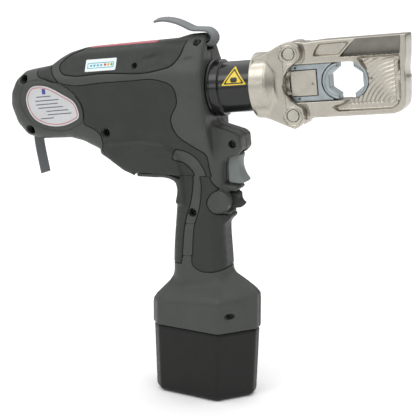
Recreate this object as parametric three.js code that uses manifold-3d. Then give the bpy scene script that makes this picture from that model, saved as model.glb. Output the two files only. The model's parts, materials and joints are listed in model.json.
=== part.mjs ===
// Battery hydraulic crimping tool with a pistol grip, a closed fork-and-yoke head and hexagon dies.
// Millimetres, +Z up, +X towards the head, the battery base on Z = 0. The barrel and the head are
// modelled along their own axis (X along the barrel, Z across it) and pitched up as one group.
import * as THREE from 'three';
import { mergeVertices } from 'three/addons/utils/BufferGeometryUtils.js';
import Module from 'manifold-3d';

const wasm = await Module();
wasm.setup();

// ---------------------------------------------------------------- driving dimensions
const PITCH = THREE.MathUtils.degToRad(6);   // barrel axis against the battery base
const ORIGIN_X = 5.35;                      // tool frame point that becomes X = 0
const HEAD = new THREE.Vector3(96, 0, 309.3); // middle between the two head pins
const GAP = 0.3;                             // clearance kept between touching pieces
const FINEST = 0.01;                         // edges shorter than this are merged away

const WALL = 2.6;
const BARREL_HALF = 34;      // half width of the barrel housing
const BARREL_ROUND = 17;
const GRIP_HALF = 20.5;
const GRIP_ROUND = 10;
const REAR = { u: -256, v: -2.5, r: 35 };    // round rear end of the motor housing
const FRONT_FACE = -81.5;
const NOSE_HALF = 17;
const SHELF_HALF = 11;
const PAD_DEPTH = 1.5;

const SEAM_Z = 69.5;         // battery to shroud joint line
const SHROUD_TOP = 126;
const SHOULDER_Z = 92;
const SHROUD_X = 5;          // the grip stands on the shroud here
const BATTERY_TAPER = 0.045;

const FLANGE = { r: 26.6, from: -81, to: -69.5 };
const TUBE_R = 24;
const COLLAR = { r: 30.3, from: -37.3, to: -21.6 };
const NECK_R = 20;
const BORE_R = 16;
const ROD_R = 11;
const PISTON = { from: -60, to: -50 };
const ROD_TIP = -3.6;

const PIN_V = 27.8;          // head pins stand this far above and below the axis
const PIN_R = 5.4;
const EAR_R = 11;
const EAR_INNER = 11.7;
const EAR_OUTER = 20;
const TONGUE_HALF = 11.2;
const YOKE_HALF = 14;
const WEB_HALF = 8;
const YOKE_END = 106;
const YOKE_TOP = 37.5;
const YOKE_BOTTOM = -31.5;
const SLOT = { r: 17.2, end: 52 };
const DIE_HALF = 8;
const MOVING_FACE = 41;
const FIXED_FACE = 56;
const DIE_R = 16.9;

const TRIGGER_PIVOT = { x: 36.5, z: 243.5 };
const LEVER_PIVOT = { x: 26.5, z: 195.3 };
const STRAP_WIDTH = 15;
const STRAP_THICK = 2.4;

const LOOKS = {
  housing: [0x4c504e, 0.55, 0],
  pad: [0x323634, 0.8, 0],
  battery: [0x2c2e2d, 0.6, 0],
  trigger: [0x7f8780, 0.5, 0],
  black: [0x1c1d1d, 0.45, 0.1],
  steel: [0xa39e94, 0.35, 0.9],
  nickel: [0xb3aa9c, 0.35, 0.85],
  zinc: [0x8d979f, 0.4, 0.7],
  copper: [0xb0744a, 0.4, 0.8],
  board: [0x2f5b3c, 0.6, 0],
  window: [0xb05a62, 0.3, 0],
  plate: [0xb9bcc0, 0.4, 0.4],
  label: [0xe8ecec, 0.5, 0],
  warning: [0xe0c22e, 0.5, 0],
  webbing: [0x8d989b, 0.9, 0],
  cell: [0x5f7c93, 0.4, 0.2],
};

// ---------------------------------------------------------------- solids from three.js geometry
function solid(geometry) {
  const bare = geometry.clone();
  bare.deleteAttribute('normal');
  bare.deleteAttribute('uv');
  const merged = mergeVertices(bare, 1e-4);
  const index = merged.index.array;
  const kept = [];
  for (let i = 0; i < index.length; i += 3) {
    const [a, b, c] = [index[i], index[i + 1], index[i + 2]];
    if (a !== b && b !== c && a !== c) kept.push(a, b, c);
  }
  return new wasm.Manifold(new wasm.Mesh({
    numProp: 3,
    vertProperties: Float32Array.from(merged.attributes.position.array),
    triVerts: Uint32Array.from(kept),
  }));
}

function surface(manifold) {
  const mesh = manifold.getMesh();
  const geometry = new THREE.BufferGeometry();
  geometry.setAttribute('position', new THREE.Float32BufferAttribute(mesh.vertProperties, 3));
  geometry.setIndex(Array.from(mesh.triVerts));
  geometry.computeVertexNormals();
  return geometry;
}

const union = (...parts) => parts.reduce((sum, part) => sum.add(part));
const cut = (body, ...tools) => tools.reduce((rest, tool) => rest.subtract(tool), body);

function box([x0, x1], [y0, y1], [z0, z1]) {
  const geometry = new THREE.BoxGeometry(x1 - x0, y1 - y0, z1 - z0);
  return solid(geometry.translate((x0 + x1) / 2, (y0 + y1) / 2, (z0 + z1) / 2));
}

function rodX(r, from, to, v = 0, sides = 24) {
  const geometry = new THREE.CylinderGeometry(r, r, to - from, sides).rotateZ(-Math.PI / 2);
  return solid(geometry.translate((from + to) / 2, 0, v));
}

function rodY(r, from, to, x, z, sides = 24) {
  const geometry = new THREE.CylinderGeometry(r, r, to - from, sides);
  return solid(geometry.translate(x, (from + to) / 2, z));
}

function rodZ(r, from, to, x, y, sides = 16) {
  const geometry = new THREE.CylinderGeometry(r, r, to - from, sides).rotateX(Math.PI / 2);
  return solid(geometry.translate(x, y, (from + to) / 2));
}

// A profile of [station along X, radius] pairs turned about the X axis.
function turned(profile, sides = 32) {
  const points = profile.map(([x, r]) => new THREE.Vector2(r, x));
  return solid(new THREE.LatheGeometry(points, sides).rotateZ(-Math.PI / 2));
}

function outline(points) {
  return new THREE.Shape(points.map(([x, z]) => new THREE.Vector2(x, z)));
}

// A side-view outline extruded across the tool, from y = from to y = to.
function prism(shape, from, to, curveSegments = 8) {
  const options = { depth: to - from, bevelEnabled: false, curveSegments };
  const geometry = new THREE.ExtrudeGeometry(shape, options).rotateX(Math.PI / 2);
  return solid(geometry.translate(0, to, 0));
}

// A side-view outline with rounded flanks: half wide at its middle, inset on all sides by inset.
function pillow(shape, half, round, inset = 0, segments = 3) {
  const bevel = round - inset;
  const depth = 2 * (half - inset - bevel);
  const geometry = new THREE.ExtrudeGeometry(shape, {
    depth,
    bevelThickness: bevel,
    bevelSize: bevel,
    bevelOffset: -bevel - inset,
    bevelSegments: segments,
    curveSegments: 5,
  });
  return solid(geometry.translate(0, 0, -depth / 2).rotateX(Math.PI / 2));
}

const barrelMatrix = new THREE.Matrix4().makeRotationY(-PITCH).setPosition(HEAD);
const pitched = (manifold) => solid(surface(manifold).applyMatrix4(barrelMatrix));
const unpitched = (manifold) => solid(surface(manifold).applyMatrix4(barrelMatrix.clone().invert()));

// ---------------------------------------------------------------- scene graph
const object = new THREE.Group();
object.position.x = -ORIGIN_X;
const barrel = new THREE.Group();
barrel.position.copy(HEAD);
barrel.rotation.y = -PITCH;
object.add(barrel);

function add(group, name, manifold, look) {
  const [color, roughness, metalness] = LOOKS[look];
  const material = new THREE.MeshStandardMaterial({ color, roughness, metalness });
  const mesh = new THREE.Mesh(surface(manifold.asOriginal().simplify(FINEST)), material);
  mesh.name = name;
  group.add(mesh);
}

// ---------------------------------------------------------------- housing outlines
function barrelOutline() {
  const shape = new THREE.Shape();
  shape.absarc(REAR.u, REAR.v, REAR.r, -Math.PI / 2, Math.PI / 2, true);
  shape.lineTo(-244, 33);
  shape.lineTo(-208, 48);
  shape.lineTo(-112, 49.5);
  shape.lineTo(FRONT_FACE, 53);
  shape.lineTo(FRONT_FACE, -60);
  shape.lineTo(-97, -79);
  shape.lineTo(-144, -79);
  shape.bezierCurveTo(-172, -74, -196, -40, -234, -37.5);
  return shape;
}

// Finger guard block under the cylinder, which the trigger hangs from.
function noseOutline() {
  return outline([[-100, -30], [-82, -33], [-60, -41.5], [-55, -47], [-55, -57], [-61, -63], [-73, -66], [-100, -72]]);
}

function gripOutline() {
  const shape = new THREE.Shape();
  shape.moveTo(-19, 238);
  shape.lineTo(-18.5, 200);
  shape.quadraticCurveTo(-20, 180, -22.5, 158);
  shape.lineTo(-23.5, 116);
  shape.lineTo(34, 116);
  shape.quadraticCurveTo(31, 150, 31.5, 177);
  shape.lineTo(33, 238);
  return shape;
}

const UPPER_SHELF = [[20, 203], [31, 204.6], [41, 205], [43, 207.6], [41, 210.4], [20, 211]];
const LOWER_SHELF = [[20, 170], [31, 173], [35, 178.6], [33.4, 184.6], [20, 185.6]];

// Plan of the battery and the shroud: narrow at the back, widest forward of the middle, blunt nose.
function batteryPlan(margin = 0) {
  const half = [
    [-42, 17],
    [-33, 27.5],
    [32.5, 37],
    [61, 6],
  ].map(([x, y]) => [x + Math.sign(x) * margin, Math.max(y + margin, 2)]);
  const mirrored = half.map(([x, y]) => [x, -y]).reverse();
  return outline([...mirrored, ...half]);
}

function planPrism(shape, from, to) {
  const geometry = new THREE.ExtrudeGeometry(shape, { depth: to - from, bevelEnabled: false });
  return solid(geometry.translate(0, 0, from));
}

// Battery skirt: upright up to its shoulder, then rounding in towards the grip.
function shroud(inset) {
  const top = SHROUD_TOP - inset;
  const margin = 1.2 - inset;
  const options = { depth: top - SEAM_Z, steps: 8, bevelEnabled: false };
  const geometry = new THREE.ExtrudeGeometry(batteryPlan(margin), options).translate(0, 0, SEAM_Z);
  const position = geometry.attributes.position;
  for (let i = 0; i < position.count; i += 1) {
    const rise = Math.max(0, (position.getZ(i) - SHOULDER_Z + inset) / (SHROUD_TOP - SHOULDER_Z));
    const scale = 1 - 0.55 * (1 - Math.sqrt(1 - Math.min(rise, 1) ** 2));
    position.setX(i, SHROUD_X + (position.getX(i) - SHROUD_X) * scale);
    position.setY(i, position.getY(i) * scale);
  }
  return solid(geometry);
}

// ---------------------------------------------------------------- housing
const SCREWS = [
  ['screw_rear_top', -174, 304, 14],
  ['screw_rear_bottom', -167, 255, 14],
  ['screw_belly', -84, 257, 22],
  ['screw_front_top', 3, 345, 12],
  ['screw_nose', 39, 251, 9],
  ['screw_grip', 0, 183, 10],
];
const SCREW_HEAD_R = 3;
const SCREW_SHANK_R = 1.6;
const BOSS_R = 5.2;

function bosses(side) {
  const [from, to] = side < 0 ? [-BARREL_HALF, -GAP / 2] : [GAP / 2, BARREL_HALF];
  return union(...SCREWS.map(([, x, z]) => rodY(BOSS_R, from, to, x, z, 10)));
}

function screwHoles(side) {
  const holes = SCREWS.map(([, x, z, depth]) => {
    const shank = rodY(SCREW_SHANK_R + GAP, side < 0 ? -depth - 2 : 0, side < 0 ? 0 : 9, x, z, 8);
    return side < 0 ? union(shank, rodY(SCREW_HEAD_R + GAP, -BARREL_HALF - 2, -depth, x, z, 10)) : shank;
  });
  return union(...holes);
}

function housingOuter() {
  return union(
    pitched(pillow(barrelOutline(), BARREL_HALF, BARREL_ROUND)),
    pitched(prism(noseOutline(), -NOSE_HALF, NOSE_HALF)),
    pillow(gripOutline(), GRIP_HALF, GRIP_ROUND, 0, 2),
    prism(outline(UPPER_SHELF), -SHELF_HALF, SHELF_HALF),
    prism(outline(LOWER_SHELF), -SHELF_HALF, SHELF_HALF),
    shroud(0),
  );
}

function housingInner() {
  return union(
    pitched(pillow(barrelOutline(), BARREL_HALF, BARREL_ROUND, WALL)),
    pitched(box([-96, -60.4], [-NOSE_HALF + WALL, NOSE_HALF - WALL], [-57, -45])),
    pillow(gripOutline(), GRIP_HALF, GRIP_ROUND, WALL, 2),
    box([-17, 27], [-14, 14], [228, 262]),
    box([-17, 27], [-14, 14], [104, 128]),
    shroud(WALL),
  );
}

const UPPER_PAD = [
  [-227, 27],
  [-222, 22.6],
  [-126, 21.5],
  [-114, 27],
  [-111, 46],
  [-205, 45],
];
const SIDE_PAD = [
  [-226, 13],
  [-122, 13],
  [-110, 3],
  [-109, -12],
  [-117, -30],
  [-110, -42],
  [-100, -54],
  [-112, -66],
  [-140, -70],
  [-163, -69],
  [-190, -48],
  [-222, -30],
  [-212, -14],
];

// What lies outside the barrel housing once its surface is sunk by depth, within tool.
function barrelRecess(depth, tool) {
  return tool.subtract(pillow(barrelOutline(), BARREL_HALF, BARREL_ROUND, depth));
}

function skin(depth, tool) {
  return barrelRecess(depth, tool).intersect(pillow(barrelOutline(), BARREL_HALF, BARREL_ROUND));
}

function flank(points, side, grow) {
  const centre = points.reduce(([a, b], [x, z]) => [a + x / points.length, b + z / points.length], [0, 0]);
  const grown = points.map(([x, z]) => {
    const reach = Math.hypot(x - centre[0], z - centre[1]);
    return [x + (x - centre[0]) * grow / reach, z + (z - centre[1]) * grow / reach];
  });
  const span = side < 0 ? [-60, -8] : [8, 60];
  return prism(outline(grown), ...span);
}

const GRIP_PADS = {
  pad_grip_front: { x: [14, 50], z: [132, 174] },
  pad_grip_rear: { x: [-50, -14], z: [130, 204] },
};

function gripRecess({ x, z }, depth, margin) {
  const zone = box([x[0] - margin, x[1] + margin], [-40, 40], [z[0] - margin, z[1] + margin]);
  return zone.subtract(pillow(gripOutline(), GRIP_HALF, GRIP_ROUND, depth, 2));
}

function gripSkin(zone, depth, margin) {
  return gripRecess(zone, depth, margin).intersect(pillow(gripOutline(), GRIP_HALF, GRIP_ROUND, 0, 2));
}

function housingOpenings() {
  return union(
    pitched(union(
      rodX(22.6, -120, -60),
      box([-203, -131], [-9, 9], [44, 60]),
      box([-90, -70], [-8.6, 8.6], [36.5, 44.5]),
      box([-283, -273], [-8.6, 8.6], [-50, -21]),
    )),
    box([28, 50], [-9, 9], [211.2, 246]),
    box([28, 50], [-7.4, 7.4], [186.4, 204.4]),
    box([-60, -30], [-8.4, 8.4], [79.6, 90.4]),
    rodY(1.4 + GAP, -14, 14, TRIGGER_PIVOT.x, TRIGGER_PIVOT.z, 10),
    rodY(1.5 + GAP, -14, 14, LEVER_PIVOT.x, LEVER_PIVOT.z, 10),
  );
}

function addHousing() {
  const recesses = [-1, 1].flatMap((side) => [
    pitched(barrelRecess(PAD_DEPTH + GAP, flank(UPPER_PAD, side, 0))),
    pitched(barrelRecess(PAD_DEPTH + GAP, flank(SIDE_PAD, side, 0))),
  ]);
  const gripRecesses = Object.values(GRIP_PADS).map((zone) => gripRecess(zone, PAD_DEPTH + GAP, 0));
  const outer = housingOuter();
  const shell = cut(outer, housingInner());
  const openings = union(housingOpenings(), ...recesses, ...gripRecesses);
  const near = box([-300, 200], [-90, -GAP / 2], [0, 400]);
  const far = box([-300, 200], [GAP / 2, 90], [0, 400]);
  const nearBlank = union(shell.intersect(near), bosses(-1).intersect(outer));
  const farBlank = union(shell.intersect(far), bosses(1).intersect(outer));
  add(object, 'housing_near', cut(nearBlank, openings, screwHoles(-1)), 'housing');
  add(object, 'housing_far', cut(farBlank, openings, screwHoles(1)), 'housing');
}

function addPads() {
  for (const [word, side] of [['near', -1], ['far', 1]]) {
    add(barrel, `pad_upper_${word}`, skin(PAD_DEPTH, flank(UPPER_PAD, side, -GAP)), 'pad');
    const screwWell = unpitched(rodY(SCREW_HEAD_R + GAP, -40, side < 0 ? -8 : -39, SCREWS[2][1], SCREWS[2][2], 10));
    add(barrel, `pad_side_${word}`, cut(skin(PAD_DEPTH, flank(SIDE_PAD, side, -GAP)), screwWell), 'pad');
  }
  for (const [name, zone] of Object.entries(GRIP_PADS)) {
    add(object, name, gripSkin(zone, PAD_DEPTH, -GAP), 'pad');
  }
}

function addScrews() {
  for (const [name, x, z, depth] of SCREWS) {
    const head = rodY(SCREW_HEAD_R, -depth - 3, -depth - GAP, x, z, 12);
    const shank = rodY(SCREW_SHANK_R, -depth - 1, 7, x, z, 8);
    add(object, name, union(head, shank), 'steel');
  }
}

function addTrim() {
  const windowBar = box([-202.6, -131.4], [-8.6, 8.6], [45.2, 49.4]);
  add(barrel, 'top_window', windowBar, 'window');
  const plate = outline([[-252, 14], [-236, 13], [-214, 1], [-210, -9], [-218, -21], [-247, -21], [-256, -8]]);
  add(barrel, 'type_plate', prism(plate, -BARREL_HALF - 1.1, -BARREL_HALF - GAP), 'plate');
  const label = outline([[-200, 36.4], [-168, 36.4], [-168, 26.4], [-200, 26.4]]);
  add(barrel, 'status_label', prism(label, -BARREL_HALF - 1.1, -BARREL_HALF - GAP), 'label');
  const triangle = outline([[-53, 20], [-65, 4], [-41, 4]]);
  const ring = cut(rodX(TUBE_R + 0.9, -66, -40), rodX(TUBE_R + GAP, -67, -39));
  add(barrel, 'warning_label', prism(triangle, -30, -12).intersect(ring), 'warning');
}

// ---------------------------------------------------------------- drive train
function addDrive() {
  add(barrel, 'motor', cut(rodX(24, -261.4, -206), rodX(4.3, -212, -205)), 'steel');
  add(barrel, 'motor_shaft', rodX(4, -211.5, -196, 0, 12), 'steel');
  add(barrel, 'gearbox', cut(rodX(27, -205.4, -172), rodX(4.4, -206, -195.4), rodX(6.4, -180, -171)), 'black');
  const lobe = rodX(8, -160, -148, 2.2, 20);
  add(barrel, 'eccentric_shaft', union(rodX(6, -179.5, -146, 0, 16), lobe), 'steel');
  const plungerBore = rodZ(3.3, -40, 12, -154, 0, 12);
  const cave = rodX(12, -162, -144.6);
  const block = union(rodX(26, -145, -111), box([-163, -144], [-13, 13], [-27, -12.6]));
  add(barrel, 'pump_block', cut(block, cave, plungerBore), 'steel');
  add(barrel, 'pump_plunger', rodZ(3, -24, -10.9, -154, 0, 10), 'steel');
  add(barrel, 'oil_reservoir', cut(rodX(30, -143, -114), rodX(26.4, -144, -113)), 'black');
  add(object, 'switch_module', box([2, 26], [-9, 9], [212, 236]), 'black');
  add(object, 'control_board', box([-14, 12], [-13, -11], [128, 177]), 'board');
}

// ---------------------------------------------------------------- cylinder, ram and spring
function addHydraulics() {
  const body = turned([
    [-110.5, 0],
    [-110.5, 22],
    [FLANGE.from, 22],
    [FLANGE.from, FLANGE.r],
    [FLANGE.to, FLANGE.r],
    [FLANGE.to, TUBE_R],
    [COLLAR.from - GAP, TUBE_R],
    [COLLAR.from - GAP, NECK_R],
    [-28, NECK_R],
    [-28, 0],
  ]);
  add(barrel, 'cylinder', cut(body, rodX(BORE_R, -76, -27)), 'black');
  const piston = union(rodX(BORE_R - 0.4, PISTON.from, PISTON.to), rodX(ROD_R, PISTON.to - 1, ROD_TIP));
  const groove = cut(rodX(20, -57, -54), rodX(BORE_R - 2.4, -58, -53));
  add(barrel, 'ram', cut(piston, groove), 'steel');
  add(barrel, 'piston_seal', cut(rodX(BORE_R - 0.15, -56.7, -54.3), rodX(BORE_R - 2.1, -58, -53)), 'black');
  addReturnSpring();
}

function addReturnSpring() {
  const turns = 5;
  const wire = 0.8;
  const radius = 13.5;
  const from = PISTON.to + 1.2;
  const to = -29.4;
  const steps = turns * 10;
  const points = [];
  for (let i = 0; i <= steps; i += 1) {
    const t = i / steps;
    const angle = t * turns * 2 * Math.PI;
    points.push(new THREE.Vector3(from + (to - from) * t, radius * Math.cos(angle), radius * Math.sin(angle)));
  }
  const section = new THREE.Shape().absarc(0, 0, wire, 0, 2 * Math.PI);
  const path = new THREE.CatmullRomCurve3(points);
  const options = { steps, extrudePath: path, curveSegments: 3, bevelEnabled: false };
  add(barrel, 'return_spring', solid(new THREE.ExtrudeGeometry(section, options)), 'steel');
}

// ---------------------------------------------------------------- fork with its pins
function earOutline() {
  const shape = new THREE.Shape();
  shape.moveTo(-30, -26);
  shape.lineTo(COLLAR.to, -30);
  shape.lineTo(-1.5, -PIN_V - EAR_R);
  shape.absarc(0, -PIN_V, EAR_R, -1.5, 0.8, false);
  shape.absarc(13, 0, 20.8, THREE.MathUtils.degToRad(251), THREE.MathUtils.degToRad(109), true);
  shape.absarc(0, PIN_V, EAR_R, -0.8, 1.9, false);
  shape.lineTo(COLLAR.to, 30);
  shape.lineTo(-30, 26);
  return shape;
}

function addFork() {
  const collar = turned([
    [COLLAR.from, 0],
    [COLLAR.from, COLLAR.r - 1],
    [COLLAR.from + 1, COLLAR.r],
    [COLLAR.to, COLLAR.r],
    [-15, 24],
    [-15, 0],
  ]);
  const ears = union(
    prism(earOutline(), EAR_INNER, EAR_OUTER),
    prism(earOutline(), -EAR_OUTER, -EAR_INNER),
  );
  const fork = cut(
    union(collar, ears),
    rodX(NECK_R + GAP, -40, -27.5),
    rodX(ROD_R + GAP, -40, -10),
    rodY(PIN_R + GAP, -30, 30, 0, PIN_V),
    rodY(PIN_R + GAP, -30, 30, 0, -PIN_V),
  );
  add(barrel, 'fork', fork, 'nickel');
  add(barrel, 'hinge_pin', rodY(PIN_R, -EAR_OUTER - 0.8, EAR_OUTER + 2.4, 0, PIN_V), 'steel');
  const clip = cut(rodY(8, EAR_OUTER + GAP, EAR_OUTER + 1.6, 0, PIN_V), rodY(PIN_R + GAP, 10, 30, 0, PIN_V));
  add(barrel, 'hinge_clip', clip, 'steel');
  const knob = rodY(8, EAR_OUTER + GAP, EAR_OUTER + 8, 0, -PIN_V);
  add(barrel, 'lock_pin', union(rodY(PIN_R, -EAR_OUTER - 0.8, EAR_OUTER + 1, 0, -PIN_V), knob), 'steel');
}

// ---------------------------------------------------------------- yoke and dies
function yokeSide() {
  const shape = new THREE.Shape();
  shape.moveTo(0, YOKE_BOTTOM);
  shape.lineTo(YOKE_END - 10, YOKE_BOTTOM);
  shape.quadraticCurveTo(YOKE_END, YOKE_BOTTOM, YOKE_END, YOKE_BOTTOM + 9);
  shape.lineTo(YOKE_END, YOKE_TOP);
  shape.lineTo(0, YOKE_TOP);
  return shape;
}

function addYoke() {
  const tongues = union(
    rodY(10.5, -TONGUE_HALF, TONGUE_HALF, 0, PIN_V),
    rodY(10.5, -TONGUE_HALF, TONGUE_HALF, 0, -PIN_V),
    prism(outline([[0, -PIN_V - 10], [24, YOKE_BOTTOM], [24, YOKE_TOP], [0, PIN_V + 10]]), -TONGUE_HALF, TONGUE_HALF),
  );
  const lobeRoom = [-1, 1].flatMap((side) => [-1, 1].map((end) => {
    const span = side < 0 ? [-40, -TONGUE_HALF - 0.1] : [TONGUE_HALF + 0.1, 40];
    return rodY(EAR_R + 2.6, ...span, 0, end * PIN_V);
  }));
  const wide = cut(
    prism(yokeSide(), -YOKE_HALF, YOKE_HALF),
    ...lobeRoom,
    box([-1, 8], [-40, 40], [-60, 60]),
    prism(outline([[70, 22], [101, 22], [101, -26], [62, -26]]), -40, -WEB_HALF),
    prism(outline([[70, 22], [101, 22], [101, -26], [62, -26]]), WEB_HALF, 40),
  );
  const slot = union(
    box([-30, SLOT.end], [-40, 40], [-SLOT.r, SLOT.r]),
    rodY(SLOT.r, -40, 40, SLOT.end, 0, 40),
  );
  const yoke = cut(
    union(tongues, wide),
    slot,
    rodY(PIN_R + GAP, -30, 30, 0, PIN_V),
    rodY(PIN_R + GAP, -30, 30, 0, -PIN_V),
    box([-20, 0], [-30, 30], [-PIN_V - PIN_R - GAP, -PIN_V + PIN_R + 1.4]),
    rodX(2.2, SLOT.end, YOKE_END + 5, 0, 12),
  );
  add(barrel, 'yoke', yoke, 'nickel');
  add(barrel, 'die_plunger', rodX(1.9, SLOT.end + SLOT.r + 0.6, YOKE_END + 2, 0, 12), 'steel');
}

// Die blank: part of a disc that fits the round slot end, with half a hexagon cut in its face.
function die(centre, face, direction) {
  const disc = rodY(DIE_R, -DIE_HALF, DIE_HALF, centre, 0, 40);
  const beyond = box(direction < 0 ? [face, 90] : [0, face], [-20, 20], [-20, 20]);
  const deep = face + direction * 8;
  const nest = prism(outline([[face - direction, 12], [deep, 6], [deep, -6], [face - direction, -12]]), -20, 20);
  return cut(disc, beyond, nest);
}

function addDies() {
  add(barrel, 'fixed_die', die(SLOT.end, FIXED_FACE, 1), 'zinc');
  const seat = MOVING_FACE + 2;
  add(barrel, 'moving_die', die(seat, MOVING_FACE, -1), 'zinc');
  const pocket = box([-10, 22], [-20, 20], [-12, 12]);
  const carrier = cut(box([-2.8, 36], [-9, 9], [-DIE_R, DIE_R]), pocket, rodY(DIE_R + GAP, -20, 20, seat, 0, 40));
  add(barrel, 'die_carrier', carrier, 'zinc');
  add(barrel, 'pressure_block', box([-2.8, 21.6], [-10, 10], [-11.6, 11.6]), 'nickel');
}

// ---------------------------------------------------------------- controls
function addControls() {
  const { x, z } = TRIGGER_PIVOT;
  const shape = new THREE.Shape();
  shape.moveTo(34, 244);
  shape.lineTo(34, 213);
  shape.lineTo(46, 213);
  shape.quadraticCurveTo(49, 214, 47.5, 217);
  shape.quadraticCurveTo(41, 228, 44.5, 239.5);
  shape.lineTo(39.2, 239.5);
  shape.lineTo(39.2, 244);
  const lug = rodY(2.8, -8.4, 8.4, x, z, 12);
  const trigger = cut(union(prism(shape, -8.4, 8.4), lug), rodY(1.8, -20, 20, x, z, 12));
  add(object, 'trigger', trigger, 'trigger');
  add(object, 'trigger_pin', rodY(1.4, -12, 12, x, z, 10), 'steel');
  addLever();
}

function addLever() {
  const { x, z } = LEVER_PIVOT;
  const shape = new THREE.Shape();
  shape.moveTo(26, 202);
  shape.lineTo(38, 203.5);
  shape.quadraticCurveTo(42, 203, 42, 198);
  shape.quadraticCurveTo(43, 194, 45.6, 192);
  shape.lineTo(43.4, 189.4);
  shape.lineTo(26, 188);
  const hub = rodY(6, -6.8, 6.8, x, z, 16);
  const lever = cut(union(prism(shape, -6.8, 6.8), hub), rodY(1.9, -20, 20, x, z, 12));
  add(object, 'retract_lever', lever, 'black');
  add(object, 'lever_pin', rodY(1.5, -12, 12, x, z, 10), 'steel');
}

// ---------------------------------------------------------------- battery
function tapered(manifold) {
  const geometry = surface(manifold);
  const position = geometry.attributes.position;
  for (let i = 0; i < position.count; i += 1) {
    const scale = 1 - BATTERY_TAPER * Math.max(0, 1 - position.getZ(i) / SEAM_Z);
    position.setX(i, position.getX(i) * scale);
    position.setY(i, position.getY(i) * scale);
  }
  return solid(geometry);
}

function addBattery() {
  const lipZ = SEAM_Z - GAP;
  const tub = tapered(cut(planPrism(batteryPlan(), 0, lipZ), planPrism(batteryPlan(-2.6), 3, 90)));
  add(object, 'battery_case', tub, 'battery');
  const lid = union(
    planPrism(batteryPlan(-3.6), lipZ - 8, lipZ - 5.4),
    planPrism(batteryPlan(-4.4), lipZ - 6, 78),
    box([-14, 20], [-13, 13], [77, 104]),
  );
  const slots = union(box([-8, -4], [-9, 9], [96, 106]), box([10, 14], [-9, 9], [96, 106]));
  const underside = planPrism(batteryPlan(-7), 50, 74);
  add(object, 'battery_lid', cut(lid, slots, underside), 'battery');
  add(object, 'contact_plus', box([-7.4, -4.6], [-8, 8], [96.4, 107]), 'copper');
  add(object, 'contact_minus', box([10.6, 13.4], [-8, 8], [96.4, 107]), 'copper');
  add(object, 'battery_latch', union(box([-46.6, -38], [-7.8, 7.8], [80.2, 89.8]), box([-38.5, -37], [-7, 7], [81, 89])), 'pad');
  addCells();
}

function addCells() {
  const cellR = 11;
  for (const [column, x] of [-23.5, -1.1, 21.3].entries()) {
    add(object, `cell_${column + 1}_near`, rodZ(cellR, 4, 52, x, -11.6, 12), 'cell');
    add(object, `cell_${column + 1}_far`, rodZ(cellR, 4, 52, x, 11.6, 12), 'cell');
  }
  add(object, 'cell_4', rodZ(cellR, 4, 52, 41.2, 0, 12), 'cell');
}

// ---------------------------------------------------------------- webbing strap ends
function strap(points) {
  const curve = new THREE.CatmullRomCurve3(points.map(([x, z]) => new THREE.Vector3(x, 0, z)));
  const steps = 14;
  const upper = [];
  const lower = [];
  for (let i = 0; i <= steps; i += 1) {
    const at = curve.getPoint(i / steps);
    const tangent = curve.getTangent(i / steps);
    const offset = [-tangent.z * STRAP_THICK / 2, tangent.x * STRAP_THICK / 2];
    upper.push([at.x + offset[0], at.z + offset[1]]);
    lower.unshift([at.x - offset[0], at.z - offset[1]]);
  }
  return prism(outline([...upper, ...lower]), -STRAP_WIDTH / 2, STRAP_WIDTH / 2);
}

function addStraps() {
  add(object, 'strap_front', strap([
    [-44, 362.4],
    [-37, 363.6],
    [-30, 363.4],
    [-21, 361.6],
    [-14, 359],
    [-6, 355.8],
    [2, 355.6],
    [9, 355.2],
    [13.8, 352],
    [15.4, 347.4],
    [13, 343],
    [8, 341.4],
  ]), 'webbing');
  add(object, 'strap_rear', strap([
    [-175, 256],
    [-175, 244],
    [-174, 235],
    [-172, 224],
    [-168.5, 207],
  ]), 'webbing');
}

addHousing();
addPads();
addScrews();
addTrim();
addDrive();
addHydraulics();
addFork();
addYoke();
addDies();
addControls();
addBattery();
addStraps();

export default object;
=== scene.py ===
"""Battery hydraulic crimping tool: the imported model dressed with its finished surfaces.

Lengths inside the shape functions are millimetres in the model's own frame. Two sets of axes are
used: the tool's (x, y, z) and the barrel's (u along it, y across, v square to both).
"""
import json
import math

import bpy
import numpy as np
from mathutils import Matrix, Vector


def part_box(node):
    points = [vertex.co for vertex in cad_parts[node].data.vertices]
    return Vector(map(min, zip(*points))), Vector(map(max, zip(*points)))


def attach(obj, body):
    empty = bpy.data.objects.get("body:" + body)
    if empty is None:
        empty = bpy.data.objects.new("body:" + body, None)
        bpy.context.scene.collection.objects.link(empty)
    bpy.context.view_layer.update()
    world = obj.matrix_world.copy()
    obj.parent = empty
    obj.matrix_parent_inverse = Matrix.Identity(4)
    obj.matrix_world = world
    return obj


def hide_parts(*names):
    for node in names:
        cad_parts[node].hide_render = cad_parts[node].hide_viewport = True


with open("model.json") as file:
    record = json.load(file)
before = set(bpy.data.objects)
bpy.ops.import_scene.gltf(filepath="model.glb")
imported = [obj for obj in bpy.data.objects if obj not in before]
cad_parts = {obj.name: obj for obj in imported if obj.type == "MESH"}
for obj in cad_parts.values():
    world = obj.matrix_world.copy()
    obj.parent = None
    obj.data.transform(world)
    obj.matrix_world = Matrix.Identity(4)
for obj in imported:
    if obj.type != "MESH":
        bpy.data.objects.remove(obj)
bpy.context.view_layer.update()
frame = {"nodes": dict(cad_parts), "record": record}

PITCH = math.radians(6)
COS, SIN = math.cos(PITCH), math.sin(PITCH)
ORIGIN_X = 5.35
HEAD_X, HEAD_Z = 96.0, 309.3
COARSER = 1.0
FINE_STEP = 0.35
NODE_SLOT = {part["node"]: part["material_slot"] for part in frame["record"]["subparts"]}


# ---- axes
def tool_axes(p):
    return p[:, 0] + ORIGIN_X, p[:, 1], p[:, 2]


def head_axes(p):
    dx = p[:, 0] + ORIGIN_X - HEAD_X
    dz = p[:, 2] - HEAD_Z
    return dx * COS + dz * SIN, p[:, 1], dz * COS - dx * SIN


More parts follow.
